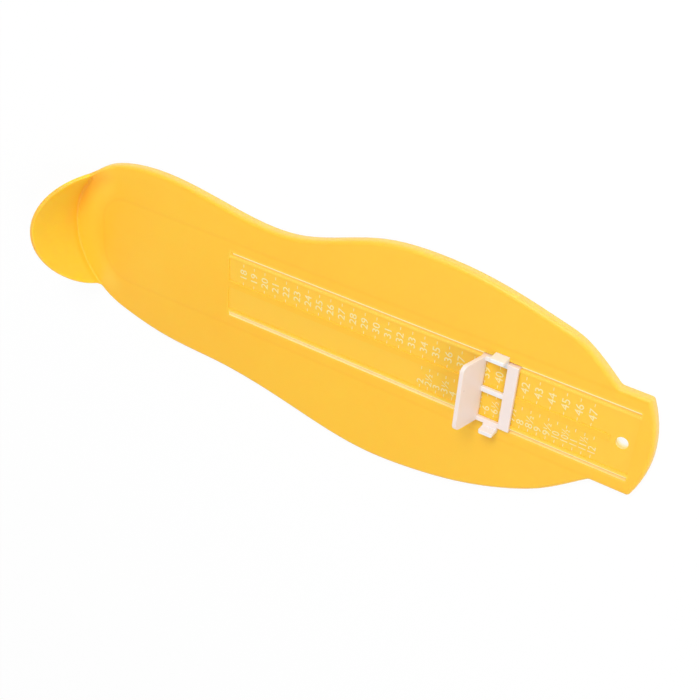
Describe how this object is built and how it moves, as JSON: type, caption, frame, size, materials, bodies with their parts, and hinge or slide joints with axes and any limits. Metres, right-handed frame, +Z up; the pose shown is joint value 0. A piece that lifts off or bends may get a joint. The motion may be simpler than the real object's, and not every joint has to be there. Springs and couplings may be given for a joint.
{
  "type": "foot measuring device",
  "caption": "Flat foot-shaped measuring gauge with a heel cup, a slotted ruler printed with shoe sizes, and a sliding toe stop with reading windows.",
  "frame": {"origin": "centre of the bounding box at the floor, under the plate", "axes": "+X along the ruler from heel to toes, +Z up from the rim's underside, +Y towards the inner side of the foot outline"},
  "size_m": [0.3463, 0.1233, 0.0325],
  "materials": {
    "plate_plastic": "translucent yellow, satin",
    "slider_plastic": "opaque white, satin",
    "scale_ink": "printed white ink"
  },
  "bodies": {
    "foot_plate": {"foot_plate": "plate_plastic", "eu_scale_marks": "scale_ink", "us_scale_marks": "scale_ink"},
    "slider": {"slider": "slider_plastic"}
  },
  "joints": [
    {"name": "slider_travel", "type": "slide", "parent": "foot_plate", "child": "slider", "axis": [1, 0, 0], "range_m": [-0.14575, 0.0579]}
  ]
}
